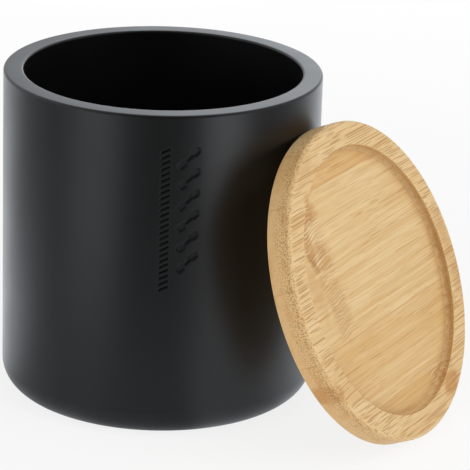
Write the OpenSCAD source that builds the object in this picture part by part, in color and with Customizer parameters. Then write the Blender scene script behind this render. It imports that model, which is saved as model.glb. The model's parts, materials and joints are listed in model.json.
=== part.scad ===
// Cotton swab box: a round ceramic pot and its turned bamboo lid.
// The pot stands on the origin with its axis along +Z and its front towards -Y.
// The lid is off: it stands on its edge and leans back against the side of the pot.
// All sizes are in millimetres.

/* [Pot] */
// Outer diameter of the pot
pot_d = 90; // [70:1:130]
// Height of the pot, from the surface it stands on to the rim
pot_h = 94; // [70:1:160]
// Thickness of the wall, which is also the width of the rim
wall = 5.7; // [4:0.1:9]
// Thickness of the floor, above the hollow in the foot
floor_t = 5.5; // [3:0.5:12]
// Round of the base edge outside
base_round = 7.5; // [2:0.5:12]
// Round between the wall and the floor inside
floor_round = 6; // [2:0.5:15]
// Round of the rim's outer edge
rim_outer_round = 0.6; // [0.2:0.1:1.5]
// Round of the rim's inner edge
rim_inner_round = 0.5; // [0.2:0.1:1.5]

/* [Foot] */
// Width of the flat ring that the pot stands on
foot_w = 4.5; // [2:0.5:10]
// Depth of the hollow inside the ring
foot_hollow = 1; // [0.4:0.1:2]

/* [Lid] */
// Thickness of the lid's disc
lid_t = 7.4; // [5:0.1:12]
// How far the lid's edge stands out past the pot's side when it is closed
lid_overhang = 0.3; // [-1:0.1:3]
// Round of the disc's edge at the face
face_round = 0.6; // [0.2:0.1:2]
// Round of the disc's edge at the back
back_round = 0.4; // [0.2:0.1:2]

/* [Recess in the lid's face] */
// Width of the raised border round the recess
border_w = 7; // [4:0.25:12]
// Depth of the recess
recess_depth = 2.5; // [1:0.1:3]
// Radius of the cove that runs round the recess floor
cove = 1; // [0.5:0.1:3]
// Break of the edge between the border and the cove
border_break = 0.2; // [0.1:0.1:0.8]

/* [Plug under the lid] */
// Depth of the step that drops into the mouth of the pot
plug_h = 3; // [1.5:0.1:6]
// Clearance between the step and the mouth, all round
plug_gap = 0.7; // [0.3:0.1:2]
// Round of the step's edge
plug_round = 0.8; // [0.2:0.1:1.4]

/* [Lid at rest] */
// How far the lid tips back from upright, in degrees
lean = 23.5; // [15:0.1:30]
// Direction in which the lid stands, from the front (-Y) round to the right (+X), in degrees
lid_side = 55.7; // [0:0.1:180]
// Turn of the lid about its own upright line, away from facing straight out, in degrees
lid_twist = -1.8; // [-5:0.1:5]
// Gap left where the lid touches the pot
lean_gap = 0.2; // [0.1:0.05:0.5]

/* [Hidden] */
$fa = 3;
$fs = 0.3;
// How far a cut runs past the surface that it opens
over = 2;

pot_r = pot_d / 2;
mouth_r = pot_r - wall;
floor_z = foot_hollow + floor_t;
foot_inner_r = pot_r - base_round - foot_w;

lid_r = pot_r + lid_overhang;
recess_r = lid_r - border_w;
plug_r = mouth_r - plug_gap;

// The leaning lid stands on the back edge of its disc, at the bottom.
face_z = (lid_r - back_round) * cos(lean) + (lid_t - back_round) * sin(lean) + back_round;
// At the top either the back edge of the disc or the edge of the plug meets the pot first.
reach_disc = (lid_r - back_round) * sin(lean) + (lid_t - back_round) * cos(lean) + back_round;
reach_plug = (plug_r - plug_round) * sin(lean) + (lid_t + plug_h - plug_round) * cos(lean) + plug_round;
face_out = pot_r + lean_gap + max(reach_disc, reach_plug);

// What is cut away outside a rounded edge. The edge is at the origin, the body lies towards -X and -Y.
module edge_waste(r) {
    translate([-r, -r]) difference() {
        square(r + over);
        circle(r);
    }
}

// Half profile of a round pocket that opens upwards at y = 0, with a rounded corner at its floor
module pocket(r, depth, corner) {
    translate([0, -depth]) difference() {
        square([r, depth + over]);
        translate([r, 0]) mirror([0, 1]) edge_waste(corner);
    }
}

module pot_profile() {
    difference() {
        square([pot_r, pot_h]);
        translate([0, pot_h]) pocket(mouth_r, pot_h - floor_z, floor_round);
        mirror([0, 1]) pocket(foot_inner_r, foot_hollow, foot_hollow / 2);
        translate([pot_r, 0]) mirror([0, 1]) edge_waste(base_round);
        translate([pot_r, pot_h]) edge_waste(rim_outer_round);
        translate([mouth_r, pot_h]) mirror([1, 0]) edge_waste(rim_inner_round);
    }
}

// The lid lies flat here: back of the disc at y = 0, face upwards, plug below.
module lid_profile() {
    difference() {
        union() {
            square([lid_r, lid_t]);
            translate([0, -plug_h]) square([plug_r, plug_h + lid_t / 2]);
        }
        translate([0, lid_t]) pocket(recess_r, recess_depth, min(cove, recess_depth));
        translate([recess_r, lid_t]) mirror([1, 0]) edge_waste(border_break);
        translate([lid_r, lid_t]) edge_waste(face_round);
        translate([lid_r, 0]) mirror([0, 1]) edge_waste(back_round);
        translate([plug_r, -plug_h]) mirror([0, 1]) edge_waste(plug_round);
    }
}

module ceramic_pot() {
    color("#1c1c1e") rotate_extrude() pot_profile();
}

module bamboo_lid() {
    color("#d8b37c")
        rotate([0, 0, lid_side - 90])
        translate([face_out, 0, face_z])
        rotate([0, 0, lid_twist])
        rotate([0, 90 - lean, 0])
        translate([0, 0, -lid_t])
        rotate_extrude() lid_profile();
}

ceramic_pot();
bamboo_lid();
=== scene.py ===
import json
import math
from types import SimpleNamespace
import bpy
from mathutils import Matrix, Vector


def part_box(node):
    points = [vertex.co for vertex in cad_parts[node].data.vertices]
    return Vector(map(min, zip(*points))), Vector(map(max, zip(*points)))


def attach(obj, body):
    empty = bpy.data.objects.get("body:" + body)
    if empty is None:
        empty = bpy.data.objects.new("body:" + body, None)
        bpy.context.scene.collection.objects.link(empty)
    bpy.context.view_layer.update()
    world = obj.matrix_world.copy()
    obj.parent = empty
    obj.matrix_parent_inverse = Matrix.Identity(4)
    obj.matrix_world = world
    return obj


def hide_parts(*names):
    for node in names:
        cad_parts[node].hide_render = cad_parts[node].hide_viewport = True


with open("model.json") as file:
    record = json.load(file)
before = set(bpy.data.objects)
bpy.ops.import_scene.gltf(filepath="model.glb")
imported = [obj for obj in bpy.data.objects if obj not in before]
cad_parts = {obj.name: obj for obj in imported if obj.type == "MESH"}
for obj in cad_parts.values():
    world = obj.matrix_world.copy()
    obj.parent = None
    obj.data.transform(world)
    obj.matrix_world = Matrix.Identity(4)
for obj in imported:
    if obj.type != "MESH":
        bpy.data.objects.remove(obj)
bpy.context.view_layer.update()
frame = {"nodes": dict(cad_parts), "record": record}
mm = 0.001
print("frame loaded:", ", ".join(sorted(frame["nodes"])))


# Helpers for node trees

def addNode(tree, kind, inputs=None, **settings):
    node = tree.nodes.new(kind)
    for name, value in settings.items():
        setattr(node, name, value)
    for key, value in (inputs or {}).items():
        if isinstance(value, bpy.types.NodeSocket):
            tree.links.new(value, node.inputs[key])
        else:
            node.inputs[key].default_value = value
    return node


def calc(tree, operation, *values, clamp=False):
    node = addNode(tree, "ShaderNodeMath", dict(enumerate(values)), operation=operation, use_clamp=clamp)
    return node.outputs[0]


def times(tree, product, *others):
    for other in others:
        product = calc(tree, "MULTIPLY", product, other)
    return product


def lessHalf(tree, value):
    return calc(tree, "SUBTRACT", value, 0.5)


def offHalf(tree, value):  # how far the value is from a half, either way
    return calc(tree, "ABSOLUTE", lessHalf(tree, value))


def wholeCalc(tree, operation, *values):
    return addNode(tree, "FunctionNodeIntegerMath", dict(enumerate(values)), operation=operation).outputs[0]


def remap(tree, value, low, high, toLow=0.0, toHigh=1.0, style="SMOOTHSTEP"):
    inputs = {"Value": value, "From Min": low, "From Max": high, "To Min": toLow, "To Max": toHigh}
    return addNode(tree, "ShaderNodeMapRange", inputs, interpolation_type=style).outputs["Result"]


def combine(tree, x, y, z):
    return addNode(tree, "ShaderNodeCombineXYZ", {0: x, 1: y, 2: z}).outputs[0]


def split(tree, vector):
    return addNode(tree, "ShaderNodeSeparateXYZ", {0: vector}).outputs


def measure(tree, vector, x, y, z):  # the vector counted in steps of x, y and z
    return addNode(tree, "ShaderNodeVectorMath", {0: vector, 1: (x, y, z)}, operation="DIVIDE").outputs[0]


def scaled(tree, vector, factor):
    return addNode(tree, "ShaderNodeVectorMath", {0: vector, "Scale": factor}, operation="SCALE").outputs[0]


def lengthOf(tree, vector):
    return addNode(tree, "ShaderNodeVectorMath", {0: vector}, operation="LENGTH").outputs["Value"]


def noise(tree, vector, detail=2.0, rough=0.5):
    inputs = {"Vector": vector, "Scale": 1.0, "Detail": detail, "Roughness": rough}
    return addNode(tree, "ShaderNodeTexNoise", inputs).outputs[0]


def tint(tree, factor, under, over):
    return addNode(tree, "ShaderNodeMix", {0: factor, 6: under, 7: over}, data_type="RGBA").outputs[2]


def stored(tree, name):  # a value that the mesh carries
    return addNode(tree, "ShaderNodeAttribute", attribute_name=name).outputs["Fac"]


def paint(code):  # a web colour as Blender's linear one
    parts = [int(code[i:i + 2], 16) / 255 for i in (1, 3, 5)]
    return tuple(c / 12.92 if c <= 0.04045 else ((c + 0.055) / 1.055) ** 2.4 for c in parts) + (1.0,)


def newTree(name, kind, inputs, outputs):
    tree = bpy.data.node_groups.new(name, kind)
    for inOut, sockets in (("INPUT", inputs), ("OUTPUT", outputs)):
        for title, socketType, default in sockets:
            socket = tree.interface.new_socket(name=title, in_out=inOut, socket_type=socketType)
            if default is not None:
                socket.default_value = default
    return tree, addNode(tree, "NodeGroupInput").outputs, addNode(tree, "NodeGroupOutput").inputs


def newMaterial(name):
    material = bpy.data.materials.new(name)
    material.use_nodes = True
    return material, material.node_tree, material.node_tree.nodes["Principled BSDF"]


# Camera, where the photograph was taken from

cameraView = dict(
    position=(-0.08884, -0.79201, 0.32851),
    yaw=7.952,  # degrees to the right of +Y
    pitch=19.594,  # degrees down
    roll=1.784,
    lens=225.52,  # mm, on a sensor 36 mm wide
)


def setCamera(view):
    camera = bpy.data.objects.new("camera", bpy.data.cameras.new("camera"))
    bpy.context.scene.collection.objects.link(camera)
    camera.data.lens = view["lens"]
    camera.data.sensor_width = 36
    camera.data.clip_start = 0.05
    turn = Matrix.Rotation(math.radians(-view["yaw"]), 4, "Z")
    tilt = Matrix.Rotation(math.radians(90 - view["pitch"]), 4, "X")
    roll = Matrix.Rotation(math.radians(view["roll"]), 4, "Z")
    camera.matrix_world = Matrix.Translation(view["position"]) @ turn @ tilt @ roll
    bpy.context.scene.camera = camera


setCamera(cameraView)
print("camera set")


# Geometry Nodes trees: one turns a profile round the axis, one sinks strokes into a round wall

def buildTurning():
    tree, given, result = newTree(
        "turning", "GeometryNodeTree",
        [("Profile", "NodeSocketGeometry", None), ("Steps", "NodeSocketInt", 192),
         ("Front steps", "NodeSocketInt", 1), ("Front arc", "NodeSocketFloat", 0.03),
         ("Material", "NodeSocketMaterial", None)],
        [("Form", "NodeSocketGeometry", None)])
    line = given["Profile"]
    pointCount = addNode(tree, "GeometryNodeAttributeDomainSize", {0: line}).outputs["Point Count"]
    columns = wholeCalc(tree, "ADD", given["Steps"], 1)
    grid = addNode(tree, "GeometryNodeMeshGrid", {"Vertices X": pointCount, "Vertices Y": columns})
    index = addNode(tree, "GeometryNodeInputIndex").outputs[0]
    row = wholeCalc(tree, "DIVIDE_FLOOR", index, columns)
    column = wholeCalc(tree, "MODULO", index, columns)
    # the arc at the front has finer steps of its own
    frontStep = calc(tree, "DIVIDE", given["Front arc"], given["Front steps"])
    otherSteps = calc(tree, "SUBTRACT", given["Steps"], given["Front steps"])
    otherStep = calc(tree, "DIVIDE", calc(tree, "SUBTRACT", math.tau, given["Front arc"]), otherSteps)
    frontPart = calc(tree, "MULTIPLY", calc(tree, "MINIMUM", column, given["Front steps"]), frontStep)
    otherCount = calc(tree, "MAXIMUM", calc(tree, "SUBTRACT", column, given["Front steps"]), 0.0)
    turned = calc(tree, "MULTIPLY_ADD", otherCount, otherStep, frontPart)
    turn = calc(tree, "MULTIPLY_ADD", given["Front arc"], -0.5, turned)
    # each grid row stands for one point of the profile
    place = addNode(tree, "GeometryNodeInputPosition").outputs[0]
    sample = addNode(tree, "GeometryNodeSampleIndex", {"Geometry": line, "Value": place, "Index": row},
                     data_type="FLOAT_VECTOR").outputs[0]
    edge = addNode(tree, "GeometryNodeInputNamedAttribute", {"Name": "edge"}, data_type="FLOAT").outputs[0]
    edgeHere = addNode(tree, "GeometryNodeSampleIndex", {"Geometry": line, "Value": edge, "Index": row},
                       data_type="FLOAT").outputs[0]
    radius, _, height = split(tree, sample)
    across = calc(tree, "MULTIPLY", radius, calc(tree, "SINE", turn))
    towards = calc(tree, "MULTIPLY", radius, calc(tree, "MULTIPLY", calc(tree, "COSINE", turn), -1.0))
    spot = combine(tree, across, towards, height)
    shaped = addNode(tree, "GeometryNodeSetPosition", {"Geometry": grid.outputs["Mesh"], "Position": spot})
    marked = addNode(tree, "GeometryNodeStoreNamedAttribute",
                     {"Geometry": shaped.outputs[0], "Name": "edge", "Value": edgeHere},
                     data_type="FLOAT", domain="POINT")
    welded = addNode(tree, "GeometryNodeMergeByDistance", {"Geometry": marked.outputs[0], "Distance": 1e-6})
    smooth = addNode(tree, "GeometryNodeSetShadeSmooth", {"Geometry": welded.outputs[0]})
    real = addNode(tree, "GeometryNodeRealizeInstances", {0: smooth.outputs[0]})
    addNode(tree, "GeometryNodeSetMaterial", {"Geometry": real.outputs[0], "Material": given["Material"]})
    tree.links.new(tree.nodes[-1].outputs[0], result["Form"])
    return tree


def buildSinking():
    tree, given, result = newTree(
        "sinking", "GeometryNodeTree",
        [("Wall", "NodeSocketGeometry", None), ("Strokes", "NodeSocketObject", None),
         ("Wall radius", "NodeSocketFloat", 0.045), ("Stroke width", "NodeSocketFloat", 0.0008),
         ("Slope", "NodeSocketFloat", 0.0002), ("Depth", "NodeSocketFloat", 0.0004),
         ("Material", "NodeSocketMaterial", None)],
        [("Wall", "NodeSocketGeometry", None)])
    strokes = addNode(tree, "GeometryNodeObjectInfo", {"Object": given["Strokes"]}).outputs["Geometry"]
    x, y, z = split(tree, addNode(tree, "GeometryNodeInputPosition").outputs[0])
    flat = combine(tree, x, y, 0.0)
    outward = addNode(tree, "ShaderNodeVectorMath", {0: flat}, operation="NORMALIZE").outputs[0]
    wallX, wallY, _ = split(tree, scaled(tree, outward, given["Wall radius"]))
    onWall = combine(tree, wallX, wallY, z)
    distance = addNode(tree, "GeometryNodeProximity", {0: strokes, "Sample Position": onWall},
                       target_element="EDGES").outputs["Distance"]
    # half the slope lies inside the stroke's width, half outside
    brow = calc(tree, "MULTIPLY", calc(tree, "ADD", given["Stroke width"], given["Slope"]), 0.5)
    foot = calc(tree, "SUBTRACT", brow, given["Slope"])
    # the wall's inside stays as it is
    inside = calc(tree, "MULTIPLY", given["Wall radius"], 0.95)
    outside = calc(tree, "GREATER_THAN", lengthOf(tree, flat), inside)
    wanted = calc(tree, "MULTIPLY", remap(tree, distance, foot, brow, given["Depth"], 0.0), outside)
    # where strokes cross, the wall is sunk once only
    already = addNode(tree, "GeometryNodeInputNamedAttribute", {"Name": "sunk"}, data_type="FLOAT").outputs[0]
    deepest = calc(tree, "MAXIMUM", wanted, already)
    inward = calc(tree, "SUBTRACT", already, deepest)
    pressed = addNode(tree, "GeometryNodeSetPosition",
                      {"Geometry": given["Wall"], "Offset": scaled(tree, outward, inward)})
    marked = addNode(tree, "GeometryNodeStoreNamedAttribute",
                     {"Geometry": pressed.outputs[0], "Name": "sunk", "Value": deepest},
                     data_type="FLOAT", domain="POINT")
    real = addNode(tree, "GeometryNodeRealizeInstances", {0: marked.outputs[0]})
    addNode(tree, "GeometryNodeSetMaterial", {"Geometry": real.outputs[0], "Material": given["Material"]})
    tree.links.new(tree.nodes[-1].outputs[0], result["Wall"])
    return tree


turning = buildTurning()
sinking = buildSinking()


def addTree(piece, tree, **values):
    modifier = piece.modifiers.new(tree.name, "NODES")
    modifier.node_group = tree
    names = {item.name: item.identifier for item in tree.interface.items_tree if item.in_out == "INPUT"}
    for name, value in values.items():
        modifier[names[name.replace("_", " ")]] = value


def freeze(piece):  # the modifiers' result becomes the piece's own mesh
    bpy.context.view_layer.update()
    graph = bpy.context.evaluated_depsgraph_get()
    mesh = bpy.data.meshes.new_from_object(piece.evaluated_get(graph), preserve_all_data_layers=True,
                                           depsgraph=graph)
    piece.modifiers.clear()
    piece.data = mesh
    mesh.name = piece.name


def corner(r, z, rounding=0.0, step=6.0):  # step is the longest stretch up to the next corner
    return Vector((r, z)), rounding, step


def addLineObject(name, points, edges):
    mesh = bpy.data.meshes.new(name)
    mesh.from_pydata(points, edges, [])
    piece = bpy.data.objects.new(name, mesh)
    bpy.context.scene.collection.objects.link(piece)
    return piece


def profileLine(name, corners, hold=0.12):
    # every rounded corner becomes an arc, with a point held close to each end to keep the flats flat
    line = [(corners[0][0], 0.0, corners[0][2])]
    for (before, _, _), (here, rounding, step), (after, _, _) in zip(corners, corners[1:], corners[2:]):
        if not rounding:
            line.append((here, 0.0, step))
            continue
        back, onward = (before - here).normalized(), (after - here).normalized()
        half = back.angle(onward) / 2
        reach = rounding / math.tan(half)
        centre = here + (back + onward).normalized() * rounding / math.sin(half)
        start, end = here + back * reach - centre, here + onward * reach - centre
        sweep = start.angle_signed(end)
        arcSteps = max(8, math.ceil(rounding * 2.5))
        line.append((centre + start + back * hold, 0.0, rounding))
        for i in range(arcSteps + 1):
            point = start.copy()
            point.rotate(Matrix.Rotation(-sweep * i / arcSteps, 2))
            line.append((centre + point, 1.0, rounding))
        line.append((centre + end + onward * hold, 0.0, step))
    line.append((corners[-1][0], 0.0, 1.0))
    points, edges = [], []
    for (a, edgeA, step), (b, edgeB, _) in zip(line, line[1:]):
        parts = max(1, math.ceil((b - a).length / step))
        for i in range(parts):
            points.append(a.lerp(b, i / parts))
            edges.append(edgeA + (edgeB - edgeA) * i / parts)
    points.append(line[-1][0])
    edges.append(0.0)
    piece = addLineObject(name, [(p.x * mm, 0, p.y * mm) for p in points],
                          [(i, i + 1) for i in range(len(points) - 1)])
    piece.data.attributes.new("edge", "FLOAT", "POINT").data.foreach_set("value", edges)
    return piece


# Shader groups that both pieces use

def buildUnevenFinish():
    tree, given, result = newTree(
        "uneven finish", "ShaderNodeTree",
        [("Vector", "NodeSocketVector", None), ("Patch size", "NodeSocketFloat", 12.0),
         ("Speck size", "NodeSocketFloat", 0.5), ("Roughness", "NodeSocketFloat", 0.4),
         ("Spread", "NodeSocketFloat", 0.1)],
        [("Tone", "NodeSocketFloat", None), ("Roughness", "NodeSocketFloat", None),
         ("Height", "NodeSocketFloat", None)])
    patchCount = calc(tree, "DIVIDE", 1.0, given["Patch size"])
    speckCount = calc(tree, "DIVIDE", 1.0, given["Speck size"])
    patches = noise(tree, scaled(tree, given["Vector"], patchCount), 3.0, 0.55)
    specks = noise(tree, scaled(tree, given["Vector"], speckCount), 2.0, 0.6)
    both = calc(tree, "MULTIPLY_ADD", lessHalf(tree, specks), 0.4, patches)
    tree.links.new(both, result["Tone"])
    drift = calc(tree, "MULTIPLY", lessHalf(tree, both), given["Spread"])
    tree.links.new(calc(tree, "ADD", given["Roughness"], drift, clamp=True), result["Roughness"])
    tree.links.new(specks, result["Height"])
    return tree


def buildRubbedEdgeAndSheen():
    tree, given, result = newTree(
        "rubbed edge", "ShaderNodeTree",
        [("Vector", "NodeSocketVector", None), ("Edge", "NodeSocketFloat", 0.0),
         ("Grain size", "NodeSocketFloat", 2.0), ("Amount", "NodeSocketFloat", 0.5)],
        [("Mask", "NodeSocketFloat", None)])
    # a broken mask along rounded edges: thin glaze on the pot, and on the lid real wear together with a
    # painted highlight
    grainCount = calc(tree, "DIVIDE", 1.0, given["Grain size"])
    broken = remap(tree, noise(tree, scaled(tree, given["Vector"], grainCount), 4.0, 0.65), 0.35, 0.65)
    wornAndSheen = calc(tree, "MULTIPLY", calc(tree, "MULTIPLY", given["Edge"], broken), given["Amount"], clamp=True)
    tree.links.new(wornAndSheen, result["Mask"])
    return tree


unevenFinish = buildUnevenFinish()
rubbedEdgeAndSheen = buildRubbedEdgeAndSheen()


def placeGroup(tree, group, inputs):
    node = tree.nodes.new("ShaderNodeGroup")
    node.node_tree = group
    for name, value in inputs.items():
        if isinstance(value, bpy.types.NodeSocket):
            tree.links.new(value, node.inputs[name])
        else:
            node.inputs[name].default_value = value
    return node.outputs


print("trees and groups built")


# Ceramic pot

pot = dict(
    radius=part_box("ceramic_pot")[1].x / mm,
    height=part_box("ceramic_pot")[1].z / mm,
    mouthRadius=frame["record"]["mounts"][1]["dims"]["r_mm"],
    floorHeight=6.5,
    baseRound=7.5,
    floorRound=6.0,
    rimOuterRound=0.75,
    rimInnerRound=0.6,
    rimCrown=0.03,  # the rim's middle stands this much above its edges
    footWidth=4.5,
    footHollow=1.0,
    steps=240,
)
glaze = dict(
    colour=paint("#070708"),
    thinColour=paint("#191715"),  # where the glaze runs thin on an edge
    footColour=paint("#3a3733"),  # ground clay under the foot
    roughness=0.36,
    spread=0.10,
    patchSize=14.0,  # mm
    speckSize=0.45,  # mm
    speckHeight=0.004,  # mm
)
figure = dict(  # slanting swabs and a twisted thread, sunk into the front; sizes in mm
    top=85.0,
    swabs=6,
    swabPitch=5.95,
    swabSide=2.55,  # right of the front line
    swabReach=1.75,  # from the middle to a bud's middle, both sideways and upwards
    stemWidth=0.95,
    budWidth=2.0,
    budLength=0.8,  # straight part of the bud
    threadLength=41.0,
    threadSide=-3.8,
    threadWidth=2.6,
    threadTurns=25,
    threadLine=0.6,
    depth=0.7,
    slope=0.25,
    gridStep=0.17,
    arcWidth=15.0,
)


def makeGlaze():
    material, tree, shader = newMaterial("satin black glaze")
    place = addNode(tree, "ShaderNodeTexCoord").outputs["Object"]
    inMm = measure(tree, place, mm, mm, mm)
    finish = placeGroup(tree, unevenFinish, {
        "Vector": inMm, "Patch size": glaze["patchSize"], "Speck size": glaze["speckSize"],
        "Roughness": glaze["roughness"], "Spread": glaze["spread"]})
    thin = placeGroup(tree, rubbedEdgeAndSheen, {
        "Vector": inMm, "Edge": stored(tree, "edge"), "Grain size": 3.0, "Amount": 0.5})["Mask"]
    foot = remap(tree, split(tree, inMm)[2], 0.25, 0.05)
    toned = tint(tree, calc(tree, "MULTIPLY", finish["Tone"], 0.25), glaze["colour"], glaze["thinColour"])
    colour = tint(tree, foot, tint(tree, thin, toned, glaze["thinColour"]), glaze["footColour"])
    tree.links.new(colour, shader.inputs["Base Color"])
    dull = calc(tree, "MULTIPLY", remap(tree, stored(tree, "sunk"), 0.0, figure["depth"] * mm), 0.15)
    rough = calc(tree, "ADD", calc(tree, "MULTIPLY_ADD", foot, 0.4, finish["Roughness"]), dull, clamp=True)
    tree.links.new(rough, shader.inputs["Roughness"])
    bump = addNode(tree, "ShaderNodeBump",
                   {"Height": finish["Height"], "Distance": glaze["speckHeight"] * mm})
    tree.links.new(bump.outputs[0], shader.inputs["Normal"])
    return material


def strokeObject(name, strokes, radius):
    points, edges = [], []
    for stroke in strokes:
        edges += [(len(points) + i, len(points) + i + 1) for i in range(len(stroke) - 1)]
        for u, v in stroke:
            turn = u / radius
            points.append((radius * math.sin(turn) * mm, -radius * math.cos(turn) * mm, v * mm))
    return addLineObject(name, points, edges)


def swabStrokes(f):
    stems, buds = [], []
    reach, half = f["swabReach"], f["budLength"] / 2 * math.sqrt(0.5)
    for i in range(f["swabs"]):
        u, v = f["swabSide"], f["top"] - f["swabPitch"] * (i + 0.5)
        stems.append([(u - reach, v - reach), (u, v), (u + reach, v + reach)])
        for side in (-reach, reach):
            buds.append([(u + side - half, v + side - half), (u + side + half, v + side + half)])
    return stems, buds


def threadStrokes(f):
    pitch = f["threadLength"] / f["threadTurns"]
    reach = (f["threadWidth"] - f["threadLine"]) / 2
    rows = [f["top"] - pitch * (i + 0.5) for i in range(f["threadTurns"])]
    return [[(f["threadSide"] + s * reach, v + s * pitch * 0.3) for s in (-1, 0, 1)] for v in rows]


def rimCorners(p):  # across the rim, from its outer edge to its inner one
    middle, half = (p["radius"] + p["mouthRadius"]) / 2, (p["radius"] - p["mouthRadius"]) / 2
    shares = [i / 5 for i in range(-3, 4)]
    return [corner(middle - half * share, p["height"] - p["rimCrown"] * share ** 2) for share in shares]


def makePot(p, f):
    footInner = p["radius"] - p["baseRound"] - p["footWidth"]
    corners = [
        corner(0, p["footHollow"]),
        corner(footInner, p["footHollow"], p["footHollow"] / 2),
        corner(footInner, 0),
        corner(p["radius"], 0, p["baseRound"], 5.0),
        corner(p["radius"], f["top"] - f["threadLength"] - 1, step=f["gridStep"]),
        corner(p["radius"], f["top"] + 1, step=4.0),
        corner(p["radius"], p["height"] - p["rimCrown"], p["rimOuterRound"], 2.0),
        *rimCorners(p),
        corner(p["mouthRadius"], p["height"] - p["rimCrown"], p["rimInnerRound"]),
        corner(p["mouthRadius"], p["floorHeight"], p["floorRound"]),
        corner(0, p["floorHeight"]),
    ]
    piece = profileLine("pot", corners)
    material = makeGlaze()
    frontSteps = round(f["arcWidth"] / f["gridStep"])
    addTree(piece, turning, Steps=p["steps"], Front_steps=frontSteps,
            Front_arc=f["arcWidth"] / p["radius"], Material=material)
    stems, buds = swabStrokes(f)
    pressings = [
        (strokeObject("swab stems", stems, p["radius"]), f["stemWidth"]),
        (strokeObject("swab buds", buds, p["radius"]), f["budWidth"]),
        (strokeObject("thread", threadStrokes(f), p["radius"]), f["threadLine"]),
    ]
    for strokes, width in pressings:
        addTree(piece, sinking, Strokes=strokes, Wall_radius=p["radius"] * mm, Stroke_width=width * mm,
                Slope=f["slope"] * mm, Depth=f["depth"] * mm, Material=material)
    freeze(piece)
    for strokes, _ in pressings:
        bpy.data.objects.remove(strokes)
    return piece


potPiece = makePot(pot, figure)
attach(potPiece, "root")
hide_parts("ceramic_pot")
print("pot made:", len(potPiece.data.polygons), "faces")


# Bamboo lid

lid = dict(
    lean=23.5,  # degrees back from upright
    direction=55.7 - 90 - 1.8,  # degrees from +X that its face looks towards
    overhang=0.3,
    thickness=7.4,
    borderWidth=7.0,
    recessDepth=2.5,
    cove=1.0,
    borderBreak=0.2,
    faceRound=1.3,
    backRound=0.4,
    plugHeight=3.0,
    plugGap=0.7,
    plugRound=0.8,
    steps=256,
)
bamboo = dict(
    stripWidth=20.9,
    firstSeam=-52.4,  # mm, counted up the face
    knotSpan=50.0,  # the nodes lie within this of the lid's middle
    # from the lowest strip up: tone from pale to warm, where the cane's node begins along the grain,
    # and how strong that node is
    strips=[
        (1.05, 12.0, 0.7),
        (0.90, -44.5, 0.4),
        (0.25, -26.0, 0.6),
        (0.20, -28.5, 1.0),
        (1.15, 49.0, 0.0),
    ],
    combSpacing=0.9,
    strandLength=8.0,  # of the longest strand past the node
    loosening=1.8,  # how unevenly the strands are spaced
    sway=6.0,  # how far the node's line wanders along the grain
    drift=2.0,  # how far the fibres stray sideways
    curl=1.6,  # and how far they do beside the node
    fan=1.5,  # how far the strands bend sideways at the node
    nodeTilt=-1.5,  # how far the node moves along the grain per mm of depth
    # brown stains about the nodes: place along the grain and up the face, half size each way, strength
    stains=[
        (-22.0, 27.0, 5.0, 5.0, 0.75),
        (-27.0, 17.5, 3.0, 9.0, 0.7),
        (-21.0, 13.5, 5.0, 4.5, 0.5),
        (-22.0, 0.0, 6.0, 10.0, 0.35),
        (-24.0, 40.0, 12.0, 5.0, 0.35),
        (18.5, -37.0, 6.0, 5.5, 0.75),
        (-41.0, -20.0, 3.2, 4.0, 0.7),
        (-30.0, 6.0, 5.0, 9.0, 0.25),
        (41.5, -6.0, 5.0, 18.0, 0.4),
    ],
    fibreWidth=0.54,  # spacing of the fibres sideways
    fibreHeight=0.66,  # and through the thickness
    fibreSlope=0.032,  # how fast a fibre climbs to the face
    wander=1.4,
    hairSpacing=0.3,
    reliefDepth=0.03,
    pale=paint("#e4c795"),
    warm=paint("#d4a768"),
    straw=paint("#d9c084"),
    highlight=paint("#f0d9ae"),
    amber=paint("#c4863f"),
    streak=paint("#a06629"),
    nodeBrown=paint("#b6792f"),
    nodeShade=paint("#9c6428"),
    endGrain=paint("#d6ae76"),
    dot=paint("#7f5a2b"),  # fibres cut square across
    # darker end grain colour in the routed recess, which is also used as the painted shade of the cove and
    # wall
    recessGrainShade=paint("#a87740"),  # end grain in the routed recess
    roughness=0.55,
)
# how large each pattern of the grain is in mm: along the grain, up the face, into the board
patternSizes = dict(
    sway=(60, 4, 9),
    drift=(50, 9, 9),
    curl=(6, 6, 4),
    strands=(9, 0.6, 1.2),
    loosening=(9, 5, 5),
    breaks=(2.5, 2, 2),
    wander=(24, 6, 5),
    patches=(30, 3, 2),
    silk=(7, 0.15, 0.15),
    tone=(60, 1.6, 3),
    threads=(45, 0.65, 1),
    green=(40, 1.1, 1),
    blush=(9, 6, 2.2),
    amber=(24, 5, 4),
    stains=(4, 3, 3),
    ridge=(6, 3, 3),
)


def lidMatrix(l):
    lean, turn = math.radians(l["lean"]), math.radians(l["direction"])
    outward = Vector((math.cos(turn), math.sin(turn), 0))
    up = Vector((0, 0, 1))
    normal = outward * math.cos(lean) + up * math.sin(lean)
    along = up.cross(outward)
    matrix = Matrix((along, normal.cross(along), normal)).transposed().to_4x4()
    # the face's centre is read from the lid in the frame
    points = [matrix.inverted() @ v.co for v in frame["nodes"]["bamboo_lid"].data.vertices]
    face = max(p.z for p in points)
    rim = [p for p in points if p.z > face - 0.01 * mm]
    middle = [(max(p[i] for p in rim) + min(p[i] for p in rim)) / 2 for i in (0, 1)]
    return Matrix.Translation(matrix @ Vector((*middle, face))) @ matrix


def pattern(tree, name, vector, detail=2.0, rough=0.5):
    return noise(tree, measure(tree, vector, *patternSizes[name]), detail, rough)


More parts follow.
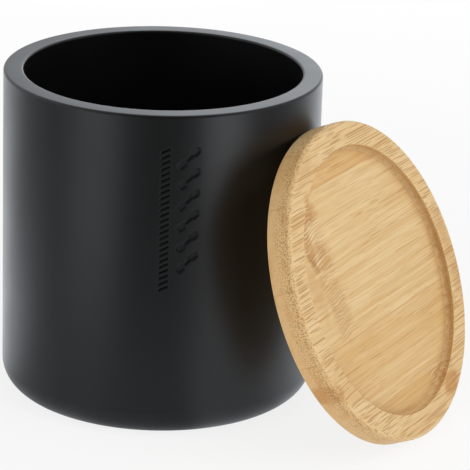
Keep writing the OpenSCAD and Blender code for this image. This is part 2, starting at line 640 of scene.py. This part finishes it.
def readStrips(tree, y, b):  # which strip this is, and what the cane is like there
    count = len(b["strips"])
    span = b["knotSpan"]
    fromSeam = calc(tree, "DIVIDE", calc(tree, "SUBTRACT", y, b["firstSeam"]), b["stripWidth"])
    ramp = addNode(tree, "ShaderNodeValToRGB", {0: calc(tree, "DIVIDE", fromSeam, count)})
    ramp.color_ramp.interpolation = "CONSTANT"
    for i, (tone, knot, strength) in enumerate(b["strips"]):
        stop = ramp.color_ramp.elements[i] if i < 2 else ramp.color_ramp.elements.new(i / count)
        stop.position = i / count
        stop.color = (tone, (knot + span) / (2 * span), strength, 1)
    tone, knotShare, strength = addNode(tree, "ShaderNodeSeparateColor", {0: ramp.outputs[0]}).outputs
    return SimpleNamespace(
        tone=tone,
        knot=calc(tree, "MULTIPLY_ADD", knotShare, 2 * span, -span),
        strength=strength,
        seed=calc(tree, "MULTIPLY", calc(tree, "FLOOR", fromSeam), 13.7),
        seam=remap(tree, offHalf(tree, calc(tree, "FRACT", fromSeam)), 0.493, 0.499),
    )


def bendStrands(tree, at, strip, l, b):
    # the cane's node begins sharply and fades along the grain, and the fibres bend at it
    sway = calc(tree, "MULTIPLY", lessHalf(tree, pattern(tree, "sway", at.body)), b["sway"])
    tilted = calc(tree, "MULTIPLY_ADD", calc(tree, "ADD", at.z, l["recessDepth"]), b["nodeTilt"], sway)
    at.pastNode = calc(tree, "ADD", calc(tree, "SUBTRACT", at.x, strip.knot), tilted)
    at.nearNode = times(tree, remap(tree, at.pastNode, -2.0, 1.5), strip.strength,
                        remap(tree, at.pastNode, 7.0, 15.0, 1.0, 0.0))
    fan = calc(tree, "MULTIPLY", remap(tree, at.pastNode, 8.0, -2.0, 0.0, b["fan"]), strip.strength)
    drift = lessHalf(tree, pattern(tree, "drift", at.body, 1.0))
    drifted = calc(tree, "MULTIPLY_ADD", drift, b["drift"], calc(tree, "ADD", at.y, fan))
    curl = calc(tree, "MULTIPLY", lessHalf(tree, pattern(tree, "curl", at.body, 1.0)), at.nearNode)
    at.swayed = calc(tree, "MULTIPLY_ADD", curl, b["curl"], drifted)
    at.grain = combine(tree, at.x, at.swayed, at.depthIn)
    at.ribbons = combine(tree, at.x, at.swayed, strip.seed)


def combStrands(tree, at, strip, b):
    # past the node light and dark strands lie like a comb, each of its own length
    loosening = calc(tree, "MULTIPLY", pattern(tree, "loosening", at.body, 1.0), b["loosening"])
    comb = calc(tree, "MULTIPLY_ADD", at.swayed, 1 / b["combSpacing"], loosening)
    strand = calc(tree, "ADD", calc(tree, "FLOOR", comb), strip.seed)
    chance = addNode(tree, "ShaderNodeTexWhiteNoise", {"W": strand}, noise_dimensions="1D").outputs["Value"]
    length = calc(tree, "SUBTRACT", at.pastNode, calc(tree, "MULTIPLY", chance, b["strandLength"]))
    otherChance = calc(tree, "FRACT", calc(tree, "MULTIPLY", chance, 7.0))
    lasting = times(tree, remap(tree, length, 1.0, 6.0, 1.0, 0.0), remap(tree, at.pastNode, -0.5, 1.5),
                    strip.strength, remap(tree, pattern(tree, "breaks", at.body), 0.36, 0.56),
                    remap(tree, otherChance, 0.0, 0.7, 0.15, 1.0))
    offStrand = offHalf(tree, calc(tree, "FRACT", comb))
    light = calc(tree, "MULTIPLY", lasting, remap(tree, offStrand, 0.24, 0.06))
    dark = calc(tree, "MULTIPLY", lasting, remap(tree, offStrand, 0.26, 0.42))
    return light, dark


def readSurface(tree, at, l, lidRadius, recessRadius):
    # border or routed recess, and how far the surface cuts across the grain
    border = remap(tree, at.radius, recessRadius - 0.2, recessRadius + 0.2)
    inRecess = calc(tree, "SUBTRACT", 1.0, border)
    rising = remap(tree, at.z, 0.15 - l["recessDepth"], 1.1 - l["recessDepth"])
    wall = calc(tree, "MULTIPLY", inRecess, rising)
    band = remap(tree, at.radius, lidRadius - 0.8, lidRadius - 0.15)
    plugSide = remap(tree, at.z, -l["thickness"] - 0.1, -l["thickness"] - 0.4)
    upright = calc(tree, "MAXIMUM", calc(tree, "MAXIMUM", wall, band), plugSide)
    endness = calc(tree, "DIVIDE", calc(tree, "ABSOLUTE", at.x), calc(tree, "MAXIMUM", at.radius, 0.1))
    ends = calc(tree, "MULTIPLY", upright, remap(tree, endness, 0.2, 0.95))
    return SimpleNamespace(border=border, inRecess=inRecess, wall=wall, upright=upright,
                           endness=endness, ends=ends)


def fibreCells(tree, across, width, height, reach, soft):
    cells = addNode(tree, "ShaderNodeTexVoronoi",
                    {"Vector": measure(tree, across, width, height, 1), "Scale": 1.0, "Randomness": 0.95},
                    voronoi_dimensions="2D").outputs["Distance"]
    return remap(tree, calc(tree, "SUBTRACT", cells, reach), 0.0, -soft)


def drawFibres(tree, at, on, b):
    # fibres are dots on the end grain, and long dashes where they climb to the face
    wander = calc(tree, "MULTIPLY", pattern(tree, "wander", at.body, 1.0), b["wander"])
    climb = calc(tree, "MULTIPLY_ADD", on.border, b["fibreSlope"] * 0.7, b["fibreSlope"] * 0.3)
    climbed = calc(tree, "MULTIPLY_ADD", at.x, climb, calc(tree, "ADD", at.depthIn, wander))
    across = combine(tree, at.swayed, climbed, 0.0)
    # the cane is denser towards its skin, which is at the lid's face
    outside = remap(tree, at.z, -7.0, -1.5, 0.0, 1.0, "LINEAR")
    patches = calc(tree, "MULTIPLY_ADD", pattern(tree, "patches", at.grain), 0.24, -0.12)
    reach = calc(tree, "MULTIPLY_ADD", outside, 0.24, patches)
    reach = calc(tree, "MULTIPLY_ADD", on.border, 0.07, reach)
    reach = calc(tree, "MULTIPLY_ADD", on.upright, 0.05, reach)
    bundle = fibreCells(tree, across, b["fibreWidth"], b["fibreHeight"], reach, 0.12)
    hair = fibreCells(tree, across, b["hairSpacing"], b["hairSpacing"], 0.38, 0.25)
    return bundle, hair


def groundColour(tree, at, on, strip, silk, b):  # the board without its fibres and nodes
    stripShare = calc(tree, "MULTIPLY", strip.tone, calc(tree, "MULTIPLY_ADD", on.border, -0.4, 0.55))
    tone = lessHalf(tree, pattern(tree, "tone", at.grain, 4.0, 0.6))
    warmth = calc(tree, "ADD", stripShare, calc(tree, "MULTIPLY_ADD", tone, 2.2, 0.15), clamp=True)
    colour = tint(tree, warmth, b["pale"], b["warm"])
    green = remap(tree, pattern(tree, "green", at.ribbons, 3.0, 0.6), 0.48, 0.68)
    colour = tint(tree, calc(tree, "MULTIPLY", green, 0.4), colour, b["straw"])
    colour = tint(tree, calc(tree, "MULTIPLY", remap(tree, silk, 0.35, 0.75), 0.3), colour, b["warm"])
    # on the recess wall the end grain turns to a darker colour that is partly real end grain and partly
    # painted shade
    endColour = tint(tree, calc(tree, "MULTIPLY", on.wall, 0.55), b["endGrain"], b["recessGrainShade"])
    colour = tint(tree, calc(tree, "MULTIPLY", on.ends, 0.8), colour, endColour)
    blush = remap(tree, pattern(tree, "blush", at.body), 0.45, 0.75)
    colour = tint(tree, times(tree, blush, on.ends, 0.45), colour, b["amber"])
    # amber and light threads along the face
    flat = calc(tree, "SUBTRACT", 1.0, on.upright)
    threads = pattern(tree, "threads", at.ribbons, 1.0)
    amber = remap(tree, offHalf(tree, threads), 0.030, 0.004)
    patchy = remap(tree, pattern(tree, "amber", at.body), 0.4, 0.65)
    colour = tint(tree, times(tree, amber, flat, patchy, 0.6), colour, b["amber"])
    light = remap(tree, threads, 0.40, 0.30)
    return tint(tree, times(tree, light, flat, 0.3), colour, b["highlight"])


def coveShade(tree, at, on, recessRadius):
    # painted shade: the recess is darker towards its wall, most where that wall cuts the fibres
    rise = remap(tree, at.radius, recessRadius - 1.7, recessRadius - 0.6)
    near = remap(tree, at.radius, recessRadius - 4.0, recessRadius - 1.0)
    shade = calc(tree, "MULTIPLY_ADD", rise, 0.45, calc(tree, "MULTIPLY", near, 0.25))
    return times(tree, shade, on.inRecess, calc(tree, "MULTIPLY_ADD", on.endness, 0.6, 0.4))


def stainMask(tree, at, b):
    onFace = combine(tree, at.x, at.y, 0)
    ragged = lessHalf(tree, pattern(tree, "stains", at.body, 3.0))
    mask = 0.0
    for middleX, middleY, halfX, halfY, strength in b["stains"]:
        fromMiddle = addNode(tree, "ShaderNodeVectorMath", {0: onFace, 1: (middleX, middleY, 0)},
                             operation="SUBTRACT").outputs[0]
        away = lengthOf(tree, measure(tree, fromMiddle, halfX, halfY, 1))
        stain = remap(tree, calc(tree, "MULTIPLY_ADD", ragged, 1.6, away), 1.15, 0.3, 0.0, strength)
        mask = calc(tree, "MAXIMUM", mask, stain)
    return mask


def nodeColour(tree, at, on, strip, colour, b):  # soft brown stains, dark and light strands
    colour = tint(tree, calc(tree, "MULTIPLY", stainMask(tree, at, b), 0.85), colour, b["nodeBrown"])
    light, dark = combStrands(tree, at, strip, b)
    level = calc(tree, "MULTIPLY_ADD", on.inRecess, 0.6, 0.3)
    strands = pattern(tree, "strands", at.grain, 1.0)
    fading = calc(tree, "MULTIPLY_ADD", lessHalf(tree, strands), -16.0, at.pastNode)
    atNode = calc(tree, "MULTIPLY", at.nearNode, remap(tree, fading, 4.0, 13.0, 1.0, 0.0))
    shade = calc(tree, "MULTIPLY", atNode, remap(tree, strands, 0.48, 0.62))
    shade = calc(tree, "MAXIMUM", shade, dark)
    colour = tint(tree, times(tree, shade, level, 0.4), colour, b["nodeShade"])
    # the ridge where the node begins
    offRidge = calc(tree, "ABSOLUTE", calc(tree, "SUBTRACT", at.pastNode, 0.4))
    ridge = times(tree, remap(tree, offRidge, 2.2, 0.4), calc(tree, "POWER", strip.strength, 3.0),
                  level, remap(tree, pattern(tree, "ridge", at.body, 3.0), 0.38, 0.62))
    colour = tint(tree, calc(tree, "MULTIPLY", ridge, 0.45), colour, b["nodeShade"])
    return tint(tree, times(tree, light, level, 0.75), colour, b["highlight"])


def makeBamboo(matrix, l, b, lidRadius, recessRadius):
    material, tree, shader = newMaterial("oiled bamboo")
    place = addNode(tree, "ShaderNodeTexCoord").outputs["Object"]
    local = addNode(tree, "ShaderNodeMapping", {
        "Vector": place, "Location": matrix.to_translation(), "Rotation": matrix.to_euler(),
        "Scale": (mm, mm, mm)}, vector_type="TEXTURE").outputs[0]
    x, y, z = split(tree, local)  # along the grain, up the face, out of the face
    radius = lengthOf(tree, combine(tree, x, y, 0.0))
    strip = readStrips(tree, y, b)
    depthIn = calc(tree, "ADD", z, strip.seed)
    at = SimpleNamespace(x=x, y=y, z=z, radius=radius, depthIn=depthIn, body=combine(tree, x, y, depthIn))
    bendStrands(tree, at, strip, l, b)
    on = readSurface(tree, at, l, lidRadius, recessRadius)
    bundle, hair = drawFibres(tree, at, on, b)
    silk = pattern(tree, "silk", at.grain, 2.0, 0.6)

    colour = groundColour(tree, at, on, strip, silk, b)
    # painted shade in the cove, darkest at the recess wall
    colour = tint(tree, coveShade(tree, at, on, recessRadius), colour, b["recessGrainShade"])
    colour = nodeColour(tree, at, on, strip, colour, b)
    clearest = calc(tree, "MAXIMUM", calc(tree, "MULTIPLY", on.border, 0.6), on.ends)
    crisp = calc(tree, "MULTIPLY_ADD", clearest, 0.32, 0.55)
    dark = calc(tree, "MAXIMUM", calc(tree, "MULTIPLY", bundle, 0.8), calc(tree, "MULTIPLY", hair, 0.12))
    fibreColour = tint(tree, on.ends, b["streak"], b["dot"])
    colour = tint(tree, calc(tree, "MULTIPLY", dark, crisp), colour, fibreColour)
    colour = tint(tree, calc(tree, "MULTIPLY", strip.seam, 0.3), colour, b["streak"])
    # lighter rounded edges of the lid: real wear, and partly a painted highlight where light catches the edge
    wornAndSheen = placeGroup(tree, rubbedEdgeAndSheen, {
        "Vector": local, "Edge": stored(tree, "edge"), "Grain size": 2.0, "Amount": 0.35})["Mask"]
    tree.links.new(tint(tree, wornAndSheen, colour, b["pale"]), shader.inputs["Base Color"])

    finish = placeGroup(tree, unevenFinish, {
        "Vector": local, "Patch size": 16.0, "Speck size": 0.4, "Roughness": b["roughness"], "Spread": 0.12})
    pores = calc(tree, "MULTIPLY", bundle, crisp)
    rough = calc(tree, "MULTIPLY_ADD", pores, 0.12, finish["Roughness"], clamp=True)
    tree.links.new(rough, shader.inputs["Roughness"])
    relief = calc(tree, "SUBTRACT", calc(tree, "MULTIPLY", silk, 0.6), pores)
    bump = addNode(tree, "ShaderNodeBump", {
        "Height": relief, "Distance": b["reliefDepth"] * mm, "Strength": 0.8})
    tree.links.new(bump.outputs[0], shader.inputs["Normal"])
    return material


def makeLid(l, p):
    radius = p["radius"] + l["overhang"]
    plugRadius = p["mouthRadius"] - l["plugGap"]
    recessRadius = radius - l["borderWidth"]
    corners = [
        corner(0, -l["thickness"] - l["plugHeight"]),
        corner(plugRadius, -l["thickness"] - l["plugHeight"], l["plugRound"]),
        corner(plugRadius, -l["thickness"]),
        corner(radius, -l["thickness"], l["backRound"]),
        corner(radius, 0, l["faceRound"]),
        corner(recessRadius, 0, l["borderBreak"]),
        corner(recessRadius, -l["recessDepth"], l["cove"]),
        corner(0, -l["recessDepth"]),
    ]
    piece = profileLine("lid", corners, hold=0.1)
    matrix = lidMatrix(l)
    addTree(piece, turning, Steps=l["steps"], Front_arc=math.tau / l["steps"],
            Material=makeBamboo(matrix, l, bamboo, radius, recessRadius))
    freeze(piece)
    piece.data.transform(matrix)
    return piece


lidPiece = makeLid(lid, pot)
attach(lidPiece, "root")
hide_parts("bamboo_lid")
print("lid made:", len(lidPiece.data.polygons), "faces")


# Studio: a pale lit table that runs out to white, and five soft boxes

studio = dict(
    floorSize=6.0,  # metres
    floorHeight=-0.02,  # mm, just under the pot
    floorColour=paint("#f4f4f4"),
    floorLift=0.84,  # share of plain white that the camera sees in the floor near the pot
    floorGlow=0.36,  # light that the lit table gives back from below
    ambient=0.22,
    target=(0.02, -0.01, 0.045),
    # azimuth from the camera to the right, elevation, distance, width, height, brightness
    softboxes=dict(
        right=(58, 38, 1.1, 0.9, 0.8, 2.75),
        left=(-62, 26, 1.1, 0.7, 0.9, 1.25),
        front=(-20, 6, 1.1, 0.9, 0.5, 1.6),
        top=(0, 72, 1.1, 0.9, 0.9, 0.55),
        back=(150, 50, 1.1, 0.9, 0.9, 0.8),
    ),
    # what the gloss mirrors: azimuth from the camera, then how bright the floor near the pot, the floor
    # further out, the low sky and the high sky are
    glow=[
        (-180, 1.8, 1.7, 0.92, 0.6),
        (-130, 2.0, 1.4, 0.9, 0.6),
        (-110, 1.5, 0.55, 0.8, 0.6),
        (-70, 0.6, 0.4, 0.7, 0.6),
        (-50, 0.55, 1.3, 0.65, 0.4),
        (-36, 0.65, 1.3, 0.45, 0.2),
        (-20, 0.55, 0.2, 0.05, 0.1),
        (10, 0.5, 0.2, 0.0, 0.1),
        (24, 0.9, 0.2, 0.0, 0.2),
        (38, 0.8, 2.3, 0.1, 0.4),
        (52, 0.8, 1.8, 0.5, 0.6),
        (66, 1.1, 0.2, 0.5, 0.6),
        (100, 1.3, 0.5, 0.55, 0.6),
        (140, 1.5, 1.7, 0.82, 0.6),
        (180, 1.8, 1.7, 0.92, 0.6),
    ],
    glowColour=(0.95, 1.0, 1.05, 1.0),
)


def buildSurroundings(s):
    tree, given, result = newTree(
        "surroundings", "ShaderNodeTree",
        [("Direction", "NodeSocketVector", None)],
        [("Near floor", "NodeSocketFloat", None), ("Far floor", "NodeSocketFloat", None),
         ("Low sky", "NodeSocketFloat", None), ("High sky", "NodeSocketFloat", None)])
    cameraX, cameraY, _ = cameraView["position"]
    x, y, _ = split(tree, given["Direction"])
    azimuth = calc(tree, "SUBTRACT", calc(tree, "ARCTAN2", x, calc(tree, "MULTIPLY", y, -1.0)),
                   math.atan2(cameraX, -cameraY))
    share = calc(tree, "FRACT", calc(tree, "MULTIPLY_ADD", azimuth, 1 / math.tau, 1.5))
    ramp = addNode(tree, "ShaderNodeValToRGB", {0: share})
    ramp.color_ramp.interpolation = "EASE"
    most = max(max(levels) for _, *levels in s["glow"])
    for i, (angle, *levels) in enumerate(s["glow"]):
        position = (angle + 180) / 360
        stop = ramp.color_ramp.elements[0] if i == 0 else ramp.color_ramp.elements.new(position)
        stop.position = position
        stop.color = [level / most for level in levels]
    ramp.color_ramp.elements.remove(ramp.color_ramp.elements[-1])
    parts = addNode(tree, "ShaderNodeSeparateColor", {0: ramp.outputs["Color"]}).outputs
    names = ("Near floor", "Far floor", "Low sky", "High sky")
    for name, level in zip(names, (*parts, ramp.outputs["Alpha"])):
        tree.links.new(calc(tree, "MULTIPLY", level, most), result[name])
    return tree


def makeFloor(s, surroundings):
    half = s["floorSize"] / 2
    mesh = bpy.data.meshes.new("floor")
    corners = [(-half, -half), (half, -half), (half, half), (-half, half)]
    mesh.from_pydata([(x, y, s["floorHeight"] * mm) for x, y in corners], [], [(0, 1, 2, 3)])
    floor = bpy.data.objects.new("floor", mesh)
    bpy.context.scene.collection.objects.link(floor)
    material, tree, shader = newMaterial("pale floor")
    shader.inputs["Base Color"].default_value = s["floorColour"]
    shader.inputs["Roughness"].default_value = 0.9
    shader.inputs["Specular IOR Level"].default_value = 0.1
    place = addNode(tree, "ShaderNodeTexCoord").outputs["Object"]
    away = lengthOf(tree, place)
    white = addNode(tree, "ShaderNodeEmission", {"Color": (1, 1, 1, 1), "Strength": 1.0})
    lift = remap(tree, away, 0.12, 0.5, s["floorLift"], 1.0)
    seen = addNode(tree, "ShaderNodeMixShader", {0: lift, 1: shader.outputs[0], 2: white.outputs[0]})
    around = placeGroup(tree, surroundings, {"Direction": place})
    far = remap(tree, away, 0.10, 0.22, style="LINEAR")
    level = addNode(tree, "ShaderNodeMix",
                    {0: far, 2: around["Near floor"], 3: around["Far floor"]}).outputs[0]
    mirrored = addNode(tree, "ShaderNodeEmission", {"Color": s["glowColour"], "Strength": level})
    path = addNode(tree, "ShaderNodeLightPath").outputs
    glow = remap(tree, away, 0.045, 0.11, 0.0, s["floorGlow"])
    below = addNode(tree, "ShaderNodeEmission", {"Color": (1, 1, 1, 1), "Strength": glow})
    lit = addNode(tree, "ShaderNodeAddShader", {0: shader.outputs[0], 1: below.outputs[0]})
    unmirrored = addNode(tree, "ShaderNodeMixShader",
                         {0: path["Is Camera Ray"], 1: lit.outputs[0], 2: seen.outputs[0]})
    whole = addNode(tree, "ShaderNodeMixShader",
                    {0: path["Is Glossy Ray"], 1: unmirrored.outputs[0], 2: mirrored.outputs[0]})
    tree.links.new(whole.outputs[0], tree.nodes["Material Output"].inputs["Surface"])
    mesh.materials.append(material)


def setWorld(s, surroundings):
    world = bpy.data.worlds.new("studio")
    bpy.context.scene.world = world
    world.use_nodes = True
    tree = world.node_tree
    direction = addNode(tree, "ShaderNodeTexCoord").outputs["Generated"]
    around = placeGroup(tree, surroundings, {"Direction": direction})
    high = remap(tree, split(tree, direction)[2], 0.42, 0.77, style="LINEAR")
    mirrored = addNode(tree, "ShaderNodeMix",
                       {0: high, 2: around["Low sky"], 3: around["High sky"]}).outputs[0]
    path = addNode(tree, "ShaderNodeLightPath").outputs
    lit = addNode(tree, "ShaderNodeMix", {0: path["Is Glossy Ray"], 2: s["ambient"], 3: mirrored}).outputs[0]
    level = calc(tree, "MAXIMUM", lit, path["Is Camera Ray"])
    colour = tint(tree, path["Is Glossy Ray"], (1, 1, 1, 1), s["glowColour"])
    background = tree.nodes["Background"]
    tree.links.new(level, background.inputs["Strength"])
    tree.links.new(colour, background.inputs["Color"])


def hangSoftboxes(s):
    x, y, _ = cameraView["position"]
    cameraSide = math.atan2(x, -y)
    for name, (side, rise, distance, width, height, brightness) in s["softboxes"].items():
        lamp = bpy.data.lights.new(name, "AREA")
        lamp.shape = "RECTANGLE"
        lamp.size, lamp.size_y = width, height
        lamp.energy = brightness * math.pi * width * height
        box = bpy.data.objects.new(name, lamp)
        bpy.context.scene.collection.objects.link(box)
        a, e = cameraSide + math.radians(side), math.radians(rise)
        away = Vector((math.sin(a) * math.cos(e), -math.cos(a) * math.cos(e), math.sin(e)))
        box.location = Vector(s["target"]) + away * distance
        box.rotation_euler = away.to_track_quat("Z", "Y").to_euler()
        box.visible_glossy = False  # the glow stands for it in the gloss


glowAround = buildSurroundings(studio)
makeFloor(studio, glowAround)
setWorld(studio, glowAround)
hangSoftboxes(studio)
bpy.context.scene.view_settings.view_transform = "Standard"
print("studio set")
